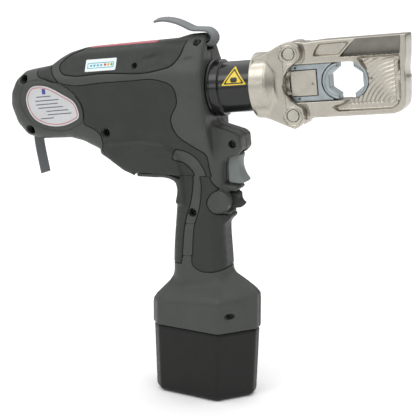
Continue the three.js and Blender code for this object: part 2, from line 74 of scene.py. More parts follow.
def from_head(points):
    u, y, v = np.asarray(points, float).T
    return np.stack([HEAD_X - ORIGIN_X + u * COS - v * SIN, y, HEAD_Z + u * SIN + v * COS], 1)


# ---- flat outlines
class Outline:
    """Signed distance to a flat outline, negative inside, kept on a grid and read in between.

    soft rounds every corner by about that many millimetres.
    """

    def __init__(self, points, soft=0.0, margin=26.0, step=0.5):
        pts = np.asarray(points, float)
        self.low = pts.min(0) - margin
        self.step = step
        size = np.ceil((pts.max(0) + margin - self.low) / step).astype(int) + 1
        a, b = np.meshgrid(*(self.low[i] + step * np.arange(size[i]) for i in (0, 1)), indexing="ij")
        near = np.full(a.shape, np.inf)
        inside = np.zeros(a.shape, bool)
        for p, q in zip(pts, np.roll(pts, -1, 0)):
            dx, dy = q - p
            if not (dx or dy):
                continue
            t = np.clip(((a - p[0]) * dx + (b - p[1]) * dy) / (dx * dx + dy * dy), 0, 1)
            near = np.minimum(near, np.hypot(a - p[0] - t * dx, b - p[1] - t * dy))
            if dy:
                crosses = (b < p[1]) != (b < q[1])
                inside ^= crosses & (a < p[0] + (b - p[1]) / dy * dx)
        grid = np.where(inside, -near, near)
        for _ in range(int(round(2 * (soft / step) ** 2))):
            for axis in (0, 1):
                padded = np.concatenate([grid.take([0], axis), grid, grid.take([-1], axis)], axis)
                count = grid.shape[axis]
                before = padded.take(range(count), axis)
                after = padded.take(range(2, count + 2), axis)
                grid = (before + 2 * grid + after) / 4
        self.grid = grid.astype(np.float32)

    def __call__(self, a, b):
        fa = np.clip((a - self.low[0]) / self.step, 0, self.grid.shape[0] - 1.001)
        fb = np.clip((b - self.low[1]) / self.step, 0, self.grid.shape[1] - 1.001)
        i, j = fa.astype(np.int32), fb.astype(np.int32)
        ta, tb = fa - i, fb - j
        g = self.grid
        low = g[i, j] * (1 - ta) + g[i + 1, j] * ta
        high = g[i, j + 1] * (1 - ta) + g[i + 1, j + 1] * ta
        return low * (1 - tb) + high * tb


def flowing(points, each=6):
    """Points on a smooth curve through the given ones. A point given twice makes a corner."""
    pts = np.asarray(points, float)
    back, ahead = np.roll(pts, 1, 0), np.roll(pts, -1, 0)
    before = np.maximum(np.hypot(*(pts - back).T), 1e-6)[:, None]
    after = np.maximum(np.hypot(*(ahead - pts).T), 1e-6)[:, None]
    slope = ((pts - back) / before * after + (ahead - pts) / after * before) / (before + after)
    t = np.linspace(0, 1, each, endpoint=False)[:, None]
    run = []
    for i in range(len(pts)):
        k = (i + 1) % len(pts)
        run.append((2 * t ** 3 - 3 * t ** 2 + 1) * pts[i] + (t ** 3 - 2 * t ** 2 + t) * after[i] * slope[i]
                   + (3 * t ** 2 - 2 * t ** 3) * pts[k] + (t ** 3 - t ** 2) * after[i] * slope[k])
    return np.vstack(run)


# ---- field arithmetic
def smin(a, b, k):
    h = np.maximum(k - np.abs(a - b), 0) / k
    return np.minimum(a, b) - h * h * k / 4


def smax(a, b, k):
    return -smin(-a, -b, k)


def slab(flat, across, half, r):
    """A flat outline extruded to half each way, its rims rounded by r."""
    a, b = flat + r, np.abs(across) - half + r
    return np.minimum(np.maximum(a, b), 0) + np.hypot(np.maximum(a, 0), np.maximum(b, 0)) - r


def cuboid(p, low, high, r=0.0):
    low, high = np.asarray(low, float), np.asarray(high, float)
    q = [np.abs(c - (low[i] + high[i]) / 2) - (high[i] - low[i]) / 2 + r for i, c in enumerate(p)]
    outer = np.sqrt(sum(np.maximum(c, 0) ** 2 for c in q))
    return outer + np.minimum(np.maximum(np.maximum(q[0], q[1]), q[2]), 0) - r


def drum(a, b, along, r, low, high, edge=0.3):
    """A round bar of radius r, its axis on a = b = 0, between low and high."""
    return slab(np.hypot(a, b) - r, along - (low + high) / 2, (high - low) / 2, edge)


# ---- mesher
BLOCK = 8
CORNERS = np.array([[i, j, k] for i in (0, 1) for j in (0, 1) for k in (0, 1)])
EDGES = [(a, b) for a in range(8) for b in range(a + 1, 8) if np.abs(CORNERS[a] - CORNERS[b]).sum() == 1]


def sampled(field, low, count, step):
    """Field values on a grid, worked out finely only in the blocks that the surface may cross."""
    blocks = [int(math.ceil(c / BLOCK)) for c in count]
    axes = [low[i] + step * BLOCK * (np.arange(blocks[i]) + 0.5) for i in range(3)]
    centres = np.stack(np.meshgrid(*axes, indexing="ij"), -1).reshape(-1, 3)
    coarse = field(centres).reshape(blocks)
    values = np.repeat(np.repeat(np.repeat(coarse, BLOCK, 0), BLOCK, 1), BLOCK, 2).astype(np.float32)
    offsets = np.stack(np.meshgrid(*[np.arange(BLOCK)] * 3, indexing="ij"), -1).reshape(-1, 3)
    chosen = np.argwhere(np.abs(coarse) < step * BLOCK * 1.25)
    for start in range(0, len(chosen), 600):
        where = (chosen[start:start + 600, None, :] * BLOCK + offsets).reshape(-1, 3)
        values[tuple(where.T)] = field(low + step * where)
    return values


def net(field, low, high, step):
    """Vertices and quads of the surface where field is zero."""
    low = np.asarray(low, float) - 2.5 * step
    count = np.ceil((np.asarray(high, float) + 2.5 * step - low) / step).astype(int) + 1
    values = sampled(field, low, count, step)
    inside = values < 0
    n = np.array(values.shape) - 1
    total = sum(inside[i:n[0] + i, j:n[1] + j, k:n[2] + k].astype(np.int8) for i, j, k in CORNERS)
    active = (total > 0) & (total < 8)
    cells = np.argwhere(active)
    index = np.full(active.shape, -1, np.int32)
    index[active] = np.arange(len(cells))
    at = [values[tuple((cells + c).T)] for c in CORNERS]
    place = np.zeros((len(cells), 3))
    hits = np.zeros(len(cells))
    for a, b in EDGES:
        crosses = (at[a] < 0) != (at[b] < 0)
        t = np.where(crosses, at[a] / np.where(crosses, at[a] - at[b], 1), 0)
        place += crosses[:, None] * (CORNERS[a] + t[:, None] * (CORNERS[b] - CORNERS[a]))
        hits += crosses
    verts = low + step * (cells + place / hits[:, None])
    quads = []
    for axis in range(3):
        one, two = [(1, 2), (2, 0), (0, 1)][axis]
        first = inside.take(range(n[axis]), axis)
        second = inside.take(range(1, n[axis] + 1), axis)
        where = np.argwhere(first != second)
        i, j = where[:, one], where[:, two]
        where = where[(i > 0) & (j > 0) & (i < n[one]) & (j < n[two])]
        ring = []
        for da, db in ((1, 1), (0, 1), (0, 0), (1, 0)):
            cell = where.copy()
            cell[:, one] -= da
            cell[:, two] -= db
            ring.append(index[tuple(cell.T)])
        face = np.stack(ring, 1)
        outward = first[tuple(where.T)]
        face[~outward] = face[~outward][:, ::-1]
        quads.append(face)
    return settled(field, verts, step), np.concatenate(quads)


def settled(field, verts, step):
    """Moves each vertex the last fraction of a step on to the surface."""
    e = 0.2 * step
    value = field(verts)
    slope = np.stack([(field(verts + e * d) - field(verts - e * d)) / (2 * e) for d in np.eye(3)], 1)
    size = np.maximum((slope ** 2).sum(1), 0.25)
    move = -slope * (value / size)[:, None]
    return verts + np.clip(move, -0.4 * step, 0.4 * step)


def mesh_object(name, verts, faces):
    mesh = bpy.data.meshes.new(name)
    corners = faces.shape[1]
    mesh.vertices.add(len(verts))
    mesh.vertices.foreach_set("co", (np.asarray(verts) / 1000).astype(np.float32).ravel())
    mesh.loops.add(faces.size)
    mesh.loops.foreach_set("vertex_index", faces.astype(np.int32).ravel())
    mesh.polygons.add(len(faces))
    mesh.polygons.foreach_set("loop_start", np.arange(0, faces.size, corners, dtype=np.int32))
    mesh.polygons.foreach_set("use_smooth", np.full(len(faces), True))
    mesh.update(calc_edges=True)
    mesh.validate()
    thing = bpy.data.objects.new(name, mesh)
    bpy.context.scene.collection.objects.link(thing)
    return thing


def thinned(thing, most):
    """Merges the flattest faces away until no more than most triangles are left."""
    triangles = 2 * len(thing.data.polygons)
    if triangles > most:
        modifier = thing.modifiers.new("thin", "DECIMATE")
        modifier.ratio = most / triangles
        modifier.use_collapse_triangulate = True
        bpy.context.view_layer.objects.active = thing
        with bpy.context.temp_override(object=thing, active_object=thing, selected_objects=[thing]):
            bpy.ops.object.modifier_apply(modifier=modifier.name)
        thing.data.shade_smooth()


def piece(name, field, low, high, step, body, slot, nodes=(), most=170000, material=None):
    """The meshed surface of a field within a box in the object's millimetres, finished and riding."""
    coarser = 1.0 if step < FINE_STEP else COARSER
    verts, quads = net(field, low, high, step * coarser)
    thing = mesh_object(name, verts, quads)
    thinned(thing, most)
    return dressed(thing, body, slot, nodes, material)


def dressed(thing, body, slot, nodes=(), material=None):
    thing.data.materials.append(MATERIALS[material or slot])
    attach(thing, body)
    if nodes:
        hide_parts(*nodes)
    return thing


# ---- materials
class Shader:
    """One Principled material whose colour, roughness and relief come from noise."""

    def __init__(self, name, color, roughness, metallic=0.0):
        self.material = bpy.data.materials.new(name)
        self.material.use_nodes = True
        self.tree = self.material.node_tree
        self.bsdf = self.tree.nodes["Principled BSDF"]
        self.color = color
        self.bsdf.inputs["Base Color"].default_value = (*color, 1)
        self.bsdf.inputs["Roughness"].default_value = roughness
        self.bsdf.inputs["Metallic"].default_value = metallic
        self.place = self.node("ShaderNodeTexCoord").outputs["Object"]

    def node(self, kind, inputs=None, **values):
        made = self.tree.nodes.new(kind)
        for key, value in values.items():
            setattr(made, key, value)
        for key, value in (inputs or {}).items():
            made.inputs[key].default_value = value
        return made

    def link(self, a, b):
        self.tree.links.new(a, b)

    def stretched(self, scale, turn=0.0):
        mapping = self.node("ShaderNodeMapping", {"Scale": scale, "Rotation": (0, turn, 0)})
        self.link(self.place, mapping.inputs["Vector"])
        return mapping.outputs["Vector"]

    def noise(self, scale, detail=3.0, vector=None):
        noise = self.node("ShaderNodeTexNoise", {"Scale": scale, "Detail": detail})
        self.link(vector or self.place, noise.inputs["Vector"])
        return noise.outputs["Fac"]

    def ranged(self, value, low, high):
        """Spreads the middle of a noise's values over low to high."""
        ends = {"From Min": 0.3, "From Max": 0.7, "To Min": low, "To Max": high}
        ranged = self.node("ShaderNodeMapRange", ends)
        self.link(value, ranged.inputs["Value"])
        return ranged.outputs["Result"]

    def mottle(self, value, other, most=1.0):
        """Drifts the colour towards other where value is high."""
        mix = self.node("ShaderNodeMix", {"A": (*self.color, 1), "B": (*other, 1)}, data_type="RGBA")
        self.link(self.ranged(value, 0, most), mix.inputs["Factor"])
        self.link(mix.outputs["Result"], self.bsdf.inputs["Base Color"])

    def worn(self, value, low, high):
        self.link(self.ranged(value, low, high), self.bsdf.inputs["Roughness"])

    def relief(self, value, depth, strength=1.0):
        bump = self.node("ShaderNodeBump", {"Strength": strength, "Distance": depth})
        self.link(value, bump.inputs["Height"])
        self.link(bump.outputs["Normal"], self.bsdf.inputs["Normal"])


def lighter(color, k):
    return tuple(min(1.0, c * k) for c in color)


def plastic(name, color, roughness, grain=2600, depth=0.00006, specular=0.3):
    s = Shader(name, color, roughness)
    s.bsdf.inputs["Specular IOR Level"].default_value = specular
    s.mottle(s.noise(55, 5), lighter(color, 1.22), 0.8)
    s.worn(s.noise(240, 4), roughness - 0.07, roughness + 0.1)
    s.relief(s.noise(grain, 2), depth, 0.55)
    return s.material


def metal(name, color, roughness, streak=(900, 900, 120), depth=0.00003, drift=1.14):
    s = Shader(name, color, roughness, 1.0)
    s.mottle(s.noise(90, 5), lighter(color, drift), 1.0)
    s.worn(s.noise(1, 4, s.stretched(streak, -PITCH)), roughness - 0.08, roughness + 0.1)
    fine = (streak[0] * 2, streak[1] * 2, streak[2] * 3)
    s.relief(s.noise(1, 3, s.stretched(fine, -PITCH)), depth, 0.5)
    return s.material


def woven(name, color):
    s = Shader(name, color, 0.85)
    wave = s.node("ShaderNodeTexWave", {"Scale": 230, "Distortion": 1.2, "Detail": 2}, wave_type="BANDS",
                  bands_direction="Y")
    s.link(s.place, wave.inputs["Vector"])
    s.mottle(wave.outputs["Fac"], lighter(color, 0.72), 0.8)
    s.relief(s.noise(1800, 2), 0.00015, 0.7)
    s.bsdf.inputs["Sheen Weight"].default_value = 0.25
    return s.material


def glazed(name, color, roughness):
    s = Shader(name, color, roughness)
    s.bsdf.inputs["Coat Weight"].default_value = 0.15
    s.bsdf.inputs["Specular IOR Level"].default_value = 0.35
    s.mottle(s.noise(160, 4), lighter(color, 0.9), 0.7)
    s.worn(s.noise(400, 3), roughness - 0.04, roughness + 0.06)
    s.relief(s.noise(1500, 2), 0.00001, 0.4)
    return s.material


MATERIALS = {
    "housing": plastic("housing_grain", (0.047, 0.0505, 0.0455), 0.46),
    "soft_pad": plastic("soft_pad_grain", (0.0245, 0.0272, 0.0248), 0.5, 3400, 0.00005, 0.28),
    "battery_shell": plastic("battery_grain", (0.0105, 0.0108, 0.01), 0.42, 3000, 0.00005, 0.22),
    "trigger": plastic("trigger_grain", (0.15, 0.17, 0.165), 0.45, 2600, 0.00004),
    "lever": plastic("lever_grain", (0.02, 0.021, 0.021), 0.4),
    "switch_black": plastic("switch_grain", (0.02, 0.02, 0.02), 0.5),
    "circuit_board": plastic("board_resist", (0.04, 0.18, 0.09), 0.45),
    "rubber": plastic("oilproof_rubber", (0.02, 0.02, 0.02), 0.65),
    "cell": plastic("cell_sleeve", (0.2, 0.32, 0.42), 0.4),
    "steel": metal("ground_steel", (0.4, 0.385, 0.34), 0.34),
    "casting": metal("cast_aluminium", (0.5, 0.5, 0.49), 0.55),
    "nickel_steel": metal("satin_nickel", (0.41, 0.385, 0.335), 0.33),
    # rougher than the nickel, and darker: the darker colour is painted shade for the downward-facing slopes
    # beside the web
    "painted_shade_cast": metal("rough_cast_painted_shade", (0.17, 0.165, 0.145), 0.52, (1400, 1400, 500), 0.00008, 1.25),
    "zinc_steel": metal("blue_zinc", (0.3, 0.335, 0.35), 0.42, (500, 500, 500), 0.00006, 1.3),
    "contact_metal": metal("contact_copper", (0.66, 0.42, 0.26), 0.35),
    "black_steel": glazed("black_lacquer", (0.009, 0.0098, 0.0095), 0.2),
    "window": glazed("red_window", (0.5, 0.13, 0.16), 0.25),
    "type_plate": metal("silver_plate", (0.52, 0.53, 0.54), 0.38, (300, 300, 300), 0.00001, 1.06),
    "status_label": glazed("white_label", (0.72, 0.76, 0.77), 0.3),
    "warning_label": glazed("yellow_label", (0.75, 0.55, 0.03), 0.3),
    "webbing": woven("woven_polyester", (0.16, 0.172, 0.178)),
}
INKS = {
    "red": (0.45, 0.06, 0.07),
    "grey": (0.12, 0.12, 0.14),
    "blue": (0.05, 0.06, 0.25),
    "cyan": (0.05, 0.4, 0.5),
    "amber": (0.8, 0.35, 0.03),
    "green": (0.05, 0.4, 0.1),
    "black": (0.02, 0.02, 0.02),
}
for hue, color in INKS.items():
    MATERIALS[f"ink_{hue}"] = glazed(f"{hue}_ink", color, 0.4)


# ---- housing
BARREL = Outline([
    (-291, -2), (-289, 11), (-282, 23), (-271, 30.6), (-262, 32), (-247, 32.4), (-240, 34.4),
    (-231, 40), (-221, 45), (-207, 48.2), (-150, 49), (-112, 49.6), (-97, 53), (-60, 53),
    (-60, -62), (-90, -71), (-120, -76), (-143, -76), (-163, -74.5), (-172, -70), (-180, -63),
    (-189, -56), (-200, -49), (-214, -41.5), (-228, -37.4), (-262, -37.2), (-276, -33), (-286, -20)
], soft=1.6)
NOSE = Outline([
    (-100, -30), (-82, -33), (-58.5, -41.5), (-54.5, -45), (-54.5, -58), (-60, -63), (-73, -66),
    (-100, -72)], soft=1.2)
GRIP = Outline(flowing([
    (-58, 246), (-58, 246), (-58, 220), (-58, 220), (-40, 219), (-28, 218), (-20, 212),
    (-17.5, 204), (-19, 192), (-21, 168), (-22.5, 147), (-23, 104), (-23, 104), (32, 104),
    (32, 104), (32, 130), (30.6, 148), (29.4, 164), (29.4, 180), (29.4, 246), (29.4, 246)]), soft=1.0)
SHELVES = [Outline([(18, 203), (31, 204.6), (41, 205), (43.2, 207.6), (41, 210.4), (18, 211)], soft=0.7),
           Outline([(18, 168), (29, 172), (35.4, 178.6), (34, 184.8), (18, 185.8)], soft=0.7)]
PLAN = Outline([
    (-42, 17), (-33, 27.5), (32.5, 37), (61, 6), (61, -6), (32.5, -37), (-33, -27.5), (-42, -17)
], soft=1.4)
SEAM_Z = 69.5
HOUSING_HALF = 34.0

UPPER_PAD = Outline(flowing([
    (-230, 32), (-225, 25), (-217, 23), (-184, 23), (-125, 22), (-110, 26), (-103, 34), (-99, 50),
    (-99, 62), (-99, 62), (-201, 62), (-201, 62), (-205, 49), (-222, 41)]), soft=0.8)
SIDE_PAD = Outline(flowing([
    (-253, 25), (-239, 20), (-224, 14), (-212, 4), (-206, -10), (-207, -24), (-207, -24),
    (-191, -34), (-189, -54), (-176, -80), (-108, -104), (-108, -104), (-103, -75), (-109, -67),
    (-119, -62), (-119, -62), (-116, -53), (-116, -53), (-105, -56), (-96, -64), (-91, -80),
    (-90, -104), (-80, -104), (-80, -104), (-86, -76), (-86, -60), (-98, -50), (-111, -38),
    (-115, -24), (-107, -8), (-110, 7), (-125, 14), (-154, 15), (-184, 15), (-218, 15), (-231, 20),
    (-238, 30), (-238, 48), (-238, 48), (-254, 48), (-254, 48)]), soft=0.8)
BELLY_GUARD = Outline(flowing([
    (-192, -44), (-172, -42), (-147, -42), (-122, -48), (-112, -57), (-112, -57), (-112, -110),
    (-112, -110), (-196, -110), (-196, -110)]), soft=0.6)
PLATE = Outline(flowing([
    (-265, 8), (-259, 15), (-248, 16), (-227, 7), (-212, -5), (-211, -17), (-218, -21), (-248, -22),
    (-260, -15)]), soft=0.6)
PLATE_PANEL = Outline(flowing([
    (-273, 6), (-267, 18), (-250, 21), (-223, 11), (-207, -5), (-208, -21), (-217, -26),
    (-246, -27), (-263, -19)]), soft=0.8)
GRIP_FRONT = Outline(flowing([
    (9, 226), (9, 208), (7, 188), (2, 171), (0, 145), (0, 131), (6, 126), (18, 125), (34, 129),
    (50, 136), (50, 136), (50, 180), (50, 180), (33, 182), (20, 185), (15, 193), (19, 202),
    (27, 207), (27, 207), (19, 216), (17, 226)]), soft=0.8)
GRIP_REAR = Outline(flowing([
    (-60, 129), (-60, 129), (-11, 131), (-11, 131), (-10, 143), (-7, 173), (-1, 195), (1, 210),
    (1, 226), (1, 226), (-60, 236), (-60, 236)]), soft=0.8)
STRIP_BREAKS = (172, 140)
SPLIT_Z = 219.0
PAD_PROUD = 0.25
PAD_DEPTH = 1.7
PAD_GAP = 0.45
RECESS_DEPTH = 1.9
BELLY_STEP = 3.6
TRIGGER_PIVOT = (36.5, 243.5)
LEVER_PIVOT = (26.5, 195.3)

SCREW_DEPTHS = {
    "screw_rear_top": 14.0,
    "screw_rear_bottom": 14.0,
    "screw_belly": 22.0,
    "screw_front_top": 12.0,
    "screw_nose": 9.0,
    "screw_grip": 10.0,
}


def screw_place(name):
    """Tool x and z of a screw's axis, from its CAD node."""
    low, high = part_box(name)
    return (low.x + high.x) * 500 + ORIGIN_X, (low.z + high.z) * 500


SCREWS = {name: (*screw_place(name), depth) for name, depth in SCREW_DEPTHS.items()}
WELL_R = 3.7
SMALL_WELLS = [(-149, 28, 2.5, 21)]
DIMPLES = [(-95, 30, 6, 3), (-134, 34, 10, 3), (-134, 5, 15, 4)]
SHOULDER_RISE = [0, 4, 8.5, 16.5, 23.5, 28, 34, 44]
SHOULDER_INSET = [0, 0.5, 3.4, 11.5, 19, 24, 29, 34]
SKIRT_WELL = (41, 86)


def barrel_shape(u, y, v):
    half = HOUSING_HALF - 1.2 + 1.6 * np.clip((u + 140) / 50, 0, 1)
    rounding = 15 + 3 * np.clip((-238 - u) / 30, 0, 1)
    body = slab(BARREL(u, v), np.abs(y) - half + HOUSING_HALF, HOUSING_HALF, rounding)
    side = np.abs(y)
    body = smax(body, 0.856 * side + 0.518 * v - 38.4, 3)
    body = smax(body, 0.5 * side + 0.866 * v - 46.4, 1.6)
    waist = np.clip((u + 215) / 40, 0, 1)
    body = smax(body, 0.94 * side - 0.34 * v - 44.6 - 6 * (1 - waist), 5)
    return smax(body, u + 81.5, 5)


def skirt_shape(x, y, z):
    start = 89 + (x + 42) * 0.1
    inset = np.interp(z - start, SHOULDER_RISE, SHOULDER_INSET)
    return smax((PLAN(x, y) - 1 + inset) * 0.72, np.maximum(z - 127, SEAM_Z - z), 1)


def grip_shape(x, y, z):
    return smax(slab(GRIP(x, z), y, 20, 13), z - 262, 6)


def housing_base(p):
    """The closed outer surface of the housing before anything is let into it."""
    u, y, v = head_axes(p)
    x, _, z = tool_axes(p)
    body = smin(barrel_shape(u, y, v), slab(NOSE(u, v), y, 17, 3.5), 5)
    body = smin(body, grip_shape(x, y, z), 9)
    body = smin(body, skirt_shape(x, y, z), 7)
    for shelf in SHELVES:
        body = smin(body, slab(shelf(x, z), y, 11, 1.6), 2.5)
    lever_boss = drum(x - LEVER_PIVOT[0], z - LEVER_PIVOT[1], y, 10.4, -18.6, 18.6, 1.6)
    return smin(body, lever_boss, 3)


def sculpted(p):
    """The outer surface with the belly guard's raised faces and the shallow hollows."""
    u, y, v = head_axes(p)
    body = housing_base(p)
    rise = np.clip(-BELLY_GUARD(u, v) / 5, 0, 1)
    body = body - BELLY_STEP * rise * rise * (3 - 2 * rise) * np.clip((np.abs(y) - 10) / 10, 0, 1)
    for cu, cv, a, b in DIMPLES:
        reach = ((u - cu) / a) ** 2 + ((v - cv - 0.16 * (u - cu)) / b) ** 2
        body = body + 1.3 * np.exp(-reach * 1.6)
    return body


def pad_regions(p):
    """Distance to each soft pad's area, negative inside it, by pad.

    Above the split the grip pads take the side pads' area, so that all lie in one recess.
    """
    u, y, v = head_axes(p)
    x, _, z = tool_axes(p)
    upper = np.maximum(UPPER_PAD(u, v), 9.6 - np.abs(y))
    above = z > SPLIT_Z
    side = np.maximum(SIDE_PAD(u, v), 8 - np.abs(y))
    return {"upper": upper, "side": side, "front": np.where(above, side, GRIP_FRONT(x, z)),
            "rear": np.where(above, side, GRIP_REAR(x, z))}


def split_side(key, z):
    """Positive past the level where the side pads end and the grip pads begin."""
    return {"upper": z * 0 - 99, "side": SPLIT_Z - z + 0.03}.get(key, z - SPLIT_Z + 0.03)


def openings(p):
    """What goes into the housing from outside: the cylinder's bore and six slots."""
    head, tool = head_axes(p), tool_axes(p)
    u, y, v = head
    opening = drum(y, v, u, 25.2, -120, -60)
    slots = [
        (head, (-203.4, -9.1, 44.6), (-130.6, 9.1, 70), 1.2),  # light strip
        (head, (-90, -8.6, 36.5), (-70, 8.6, 44.5), 1),        # front strap end
        (head, (-283, -8.6, -60), (-273, 8.6, -21), 1),        # rear strap end
        (tool, (27.4, -9, 211.2), (60, 9, 244.4), 0.6),        # trigger
        (tool, (25, -7.3, 186.6), (60, 7.3, 203.6), 0.6),      # retract lever
        (tool, (-60, -8.2, 79.8), (-30, 8.2, 90.2), 0.8),      # battery latch
    ]
    for axes, low, high, r in slots:
        opening = np.minimum(opening, cuboid(axes, low, high, r))
    return opening


def wells(p):
    """Wells of the screws, a small hole and an oval one, all on the -Y side."""
    x, y, z = tool_axes(p)
    well = np.full(len(p), 99.0)
    for sx, sz, depth in SCREWS.values():
        flare = np.clip((-y - depth - 6) * 0.12, 0, 1.4)
        reach = np.hypot(x - sx, z - sz) - WELL_R - flare
        well = np.minimum(well, np.maximum(reach, y + depth))
    u, _, v = head_axes(p)
    for cu, cv, r, depth in SMALL_WELLS:
        well = np.minimum(well, np.maximum(np.hypot(u - cu, v - cv) - r, y + depth))
    oval = np.hypot(x - SKIRT_WELL[0], (z - SKIRT_WELL[1]) * 1.3) - 3.8
    return np.minimum(well, np.maximum(oval, y + 22))


def housing_half(side):
    """One half shell, side -1 or 1 by its sign of y, with its recesses, grooves and openings."""
    def field(p):
        u, y, v = head_axes(p)
        x, _, z = tool_axes(p)
        body = sculpted(p)
        regions = pad_regions(p)
        lower = np.where(z > SPLIT_Z, regions["side"], np.minimum(regions["front"], regions["rear"]))
        for region in (regions["upper"], lower):
            body = smax(body, np.minimum(body + RECESS_DEPTH, -region), 0.7)
        panel = PLATE_PANEL(u, v)
        body = body + 0.9 * np.exp(-(panel / 0.75) ** 2) * (np.abs(y) > 20)
        body = smax(body, -openings(p), 0.8)
        strip = (x > -15) & (x < 8) & (z < 180)
        for level in STRIP_BREAKS:
            body = body + 0.9 * np.exp(-((z - level - 0.08 * x) / 0.7) ** 2) * strip
        if side < 0:
            body = smax(body, -wells(p), 0.8)
        return smax(body, side * -y + 0.25, 0.9)
    return field


def add_housing():
    for word, side, ys in (("near", -1, (-37.5, 0)), ("far", 1, (0, 37.5))):
        piece(f"housing_shell_{word}", housing_half(side), (-202, ys[0], 68), (66, ys[1], 356), 0.66,
              "tool_body", "housing", [f"housing_{word}"], most=185000)


def pad_field(key, side=0):
    def field(p):
        region = pad_regions(p)[key]
        body = sculpted(p)
        pad = smax(body - PAD_PROUD, region + PAD_GAP, 1.5)
        pad = np.maximum(pad, -(body + PAD_DEPTH))
        pad = smax(pad, -openings(p) + 0.3, 0.8)
        pad = np.maximum(pad, split_side(key, tool_axes(p)[2]))
        if key in ("side", "upper"):
            pad = np.maximum(pad, side * -p[:, 1])
        if side <= 0:
            pad = smax(pad, -wells(p) + 0.3, 0.6)
        return pad
    return field


def add_pads():
    for word, side, ys in (("near", -1, (-37.5, -7)), ("far", 1, (7, 37.5))):
        piece(f"upper_grip_pad_{word}", pad_field("upper", side), (-145, ys[0], 292), (1, ys[1], 354), 0.6,
              "tool_body", "soft_pad", [f"pad_upper_{word}"], most=120000)
        piece(f"side_grip_pad_{word}", pad_field("side", side), (-168, ys[0], 205), (18, ys[1], 330), 0.62,
              "tool_body", "soft_pad", [f"pad_side_{word}"], most=150000)
    piece("handle_pad_front", pad_field("front"), (-8, -22, 124), (40, 22, 250), 0.55,
          "tool_body", "soft_pad", ["pad_grip_front"], most=120000)
    piece("handle_pad_rear", pad_field("rear"), (-60, -23, 126), (2, 23, 240), 0.55,
          "tool_body", "soft_pad", ["pad_grip_rear"], most=120000)


# ---- screws
def screw_field(x0, z0, depth, r=3.1):
    def field(p):
        x, y, z = tool_axes(p)
        a, b = x - x0, z - z0
        radius = np.hypot(a, b)
        head = drum(a, b, y, r, -depth - 3, -depth - 0.3, 0.5)
        angle = np.arctan2(b, a)
        star = radius - 1.45 - 0.35 * np.cos(6 * angle)
        socket = np.maximum(star, y + depth + 1)
        shank = drum(a, b, y, 1.6, -depth - 1, 7)
        return np.minimum(np.maximum(head, -socket), shank)
    return field


def add_screws():
    for name, (x, z, depth) in SCREWS.items():
        px = x - ORIGIN_X
        piece(f"{name}_star", screw_field(x, z, depth), (px - 4, -depth - 4, z - 4), (px + 4, 8, z + 4), 0.3,
              "tool_body", "steel", [name], material="black_steel")


# ---- labels that follow the surface
NEAR_SIDE_Y = -5.0
SHEET = (0.1, 0.8)
PRINT = (0.5, 0.95)


def on_surface(surface, region, low, high):
    """A thin sheet between two heights over a surface, kept to a region."""
    def field(p):
        s = surface(p)
        return np.maximum(np.maximum(s - high, low - s), region(p))
    return field


def head_region(outline, grow=0.0):
    def region(p):
        u, y, v = head_axes(p)
        return np.maximum(outline(u, v) - grow, y - NEAR_SIDE_Y)
    return region


def box_region(cu, cv, a, b, r, tilt=0.0):
    def region(p):
        u, y, v = head_axes(p)
        du, dv = u - cu, v - cv - tilt * (u - cu)
        flat = cuboid((du, dv, du * 0), (-a, -b, -9), (a, b, 9), r)
        return np.maximum(flat, y - NEAR_SIDE_Y)
    return region


def head_box(u0, u1, v0, v1, y0, y1):
    """The object's own box around a box given along the head's axes."""
    corners = from_head([(u, y, v) for u in (u0, u1) for y in (y0, y1) for v in (v0, v1)])
    return corners.min(0), corners.max(0)


def add_type_plate():
    low, high = head_box(-268, -206, -26, 20, -38.2, -30)
    piece("type_plate_sheet", on_surface(sculpted, head_region(PLATE), *SHEET), low, high, 0.32,
          "tool_body", "type_plate", ["type_plate"])
    ring = lambda p: np.maximum(head_region(PLATE, -1.6)(p), -head_region(PLATE, -2.3)(p))
    rows = [(-246.5, 5.4, 8.0), (-243, 1.6, 13.0), (-243.5, -2.0, 12.0), (-240, -5.4, 13.5),
            (-233, -8.8, 12.0), (-231, -12.2, 13.0), (-245, -15.8, 7.0)]
    lines = [box_region(cu, cv, half, 0.5, 0.2, 0.02) for cu, cv, half in rows]
    printed = lambda p: np.minimum.reduce([line(p) for line in lines])
    square = box_region(-245.6, 10.2, 1.9, 2.6, 0.3)
    for name, region, ink in (("plate_border", ring, "ink_red"), ("plate_rows", printed, "ink_grey"),
                              ("plate_mark", square, "ink_blue")):
        piece(name, on_surface(sculpted, region, *PRINT), low, high, 0.22, "tool_body", "type_plate",
              material=ink)


def add_status_label():
    low, high = head_box(-204, -164, 22, 41, -34, -10)
    sheet = box_region(-184.4, 31.4, 16.2, 5.5, 1.0)
    piece("status_label_sheet", on_surface(sculpted, sheet, *SHEET), low, high, 0.3, "tool_body",
          "status_label", ["status_label"])
    rim = box_region(-184.4, 31.2, 14.0, 2.6, 0.7)
    inner = box_region(-184.4, 31.2, 13.2, 1.9, 0.4)
    frame_line = lambda p: np.maximum(rim(p), -inner(p))
    bars_at = [box_region(-194.5 + 3.6 * i, 31.2, 1.2, 0.9, 0.2) for i in range(4)]
    marks = lambda p: np.minimum.reduce([frame_line(p)] + [bar(p) for bar in bars_at])
    piece("label_marks", on_surface(sculpted, marks, *PRINT), low, high, 0.22, "tool_body", "status_label",
          material="ink_cyan")
    for name, cu, ink in (("label_dot_red", -179.6, "ink_red"), ("label_dot_amber", -176.2, "ink_amber"),
                          ("label_dot_green", -172.8, "ink_green")):
        dot = box_region(cu, 31.4, 1.2, 1.2, 1.1)
        piece(name, on_surface(sculpted, dot, *PRINT), low, high, 0.22, "tool_body", "status_label",
              material=ink)


